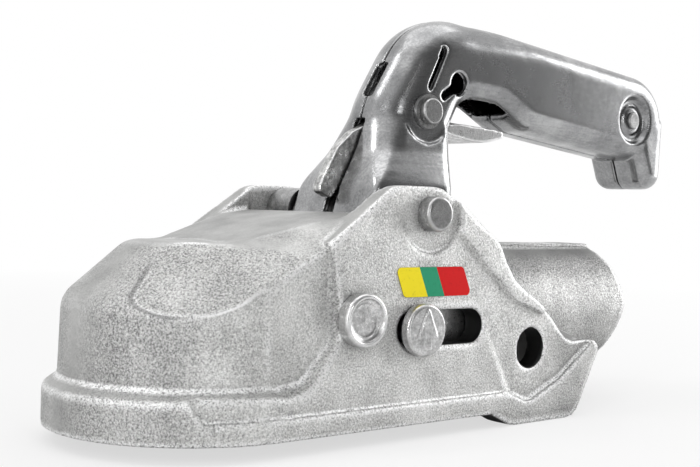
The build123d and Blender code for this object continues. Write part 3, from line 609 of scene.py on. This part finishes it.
def make_floor():
    """White floor under the lugs that fades into the backdrop."""
    bpy.ops.mesh.primitive_plane_add(size=FLOOR_SIZE, location=(0, 0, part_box("housing")[0].z))
    floor = bpy.context.object
    floor.name = "floor"
    shader = Shader("floor", Base_Color=grey(0.9), Roughness=0.8)
    distance = shader.node("VectorMath", {0: shader.coords}, operation="LENGTH").outputs["Value"]
    whiteness = shader.fade(distance, FLOOR_NEAR, FLOOR_FAR, low=FLOOR_WHITE)
    share = shader.light_share(0.0, whiteness, "Is Camera Ray")
    white = shader.node("Emission", {"Color": WHITE, "Strength": 1.0}).outputs[0]
    mixed = shader.node("MixShader", {0: share, 1: shader.bsdf.outputs[0], 2: white})
    shader.tree.links.new(mixed.outputs[0], shader.out.inputs[0])
    floor.data.materials.append(shader.material)


def make_world():
    """White backdrop all round, that metal sees darker on the photographer's side of the studio."""
    world = bpy.data.worlds.new("studio")
    bpy.context.scene.world = world
    studio = Nodes(world)
    heading = studio.node("TexCoord").outputs["Generated"]
    toward = studio.node("VectorMath", {0: heading, 1: FRONT}, operation="DOT_PRODUCT").outputs["Value"]
    seen = studio.fade(toward, 0.3, 0.75, low=1.0, high=FRONT_LEVEL, interpolation_type="SMOOTHSTEP")
    mirrored = studio.light_share(AMBIENT, seen, "Is Glossy Ray", "Is Transmission Ray")
    strength = studio.light_share(mirrored, 1.0, "Is Camera Ray")
    background = studio.node("Background", {"Color": WHITE, "Strength": strength})
    out = studio.node("OutputWorld")
    studio.tree.links.new(background.outputs[0], out.inputs[0])


def softbox(name, heading, distance, size, radiance):
    """Area lamp that lies that way from the lit point and faces it, with its distance and size in metres."""
    data = bpy.data.lights.new(name, "AREA")
    data.shape = "RECTANGLE"
    data.size, data.size_y = size
    data.energy = radiance * math.pi * size[0] * size[1]
    lamp = bpy.data.objects.new(name, data)
    bpy.context.scene.collection.objects.link(lamp)
    lamp.location = LIT_POINT + Vector(heading).normalized() * distance
    lamp.rotation_euler = (LIT_POINT - lamp.location).to_track_quat("-Z", "Y").to_euler()
    lamp.visible_camera = False


make_camera()
make_floor()
make_world()
softbox("overhead", (0.15, 0.1, 1.0), distance=1.3, size=(1.2, 1.2), radiance=0.9)
softbox("shoulder", (-0.55, 0.25, 0.8), distance=1.0, size=(0.16, 0.16), radiance=10.0)
softbox("strip_left", (-0.95, -0.42, 0.12), distance=1.0, size=(0.1, 1.0), radiance=10.0)
softbox("strip_front", (-0.25, -1.0, 0.1), distance=1.0, size=(0.1, 1.0), radiance=8.0)
softbox("strip_right", (1.0, -0.3, 0.2), distance=1.1, size=(0.5, 0.9), radiance=3.8)

# Pieces that stand for a node
soft_skin(
    "housing", "root", cast_zinc(), voxel_mm=0.85, passes=3, keep=0.45, soften=soften_housing
)
zinc = bright_zinc()
for shell in both("handle_shell"):
    soft_skin(shell, "handle", zinc, voxel_mm=0.55, passes=8, keep=0.6, soften=soften_shell)
dull_zinc = dull_plating("dull_zinc", dark=0.34, middle=0.56, bright=0.8, polish=0.9)
plated_steel = dull_plating("plated_steel", dark=0.2, middle=0.32, bright=0.5, polish=0.6)
soft_skin("latch_lever", "latch", tumbled_zinc(), voxel_mm=0.4, passes=6, keep=0.5)
soft_skin("trigger", "latch", dull_zinc, voxel_mm=0.4, passes=8, keep=0.5)
soft_skin("handle_pivot_pin", "root", plated_steel, voxel_mm=0.35, passes=2, keep=0.4)
soft_skin("latch_pin", "handle", plated_steel, voxel_mm=0.3, passes=2, keep=0.4)
soft_skin("jaw_axle_pin", "root", dull_zinc, voxel_mm=0.35, passes=3, keep=0.4)
soft_skin("indicator_pin", "slide", dull_zinc, voxel_mm=0.3, passes=2, keep=0.4)
steel = dark_steel()
squeezed_spring(steel)

# Nodes that show as they are
dress(dull_zinc, "axle_retaining_ring", "indicator_retaining_ring", *both("slide_plate"))
dress(plated_steel, "pivot_retaining_ring", "latch_retaining_ring", "grip_rivet", "drive_pin", "jaw_pin")
dress(plated_steel, *both("spacer_bush", "latch_washer", "latch_spacer", "pivot_sleeve", "lever_plate"))
dress(steel, "ball_jaw", "latch_spring", "thrust_web", "spring_seat")
dress(label_film(), "wear_label")

bpy.context.scene.view_settings.view_transform = "Standard"
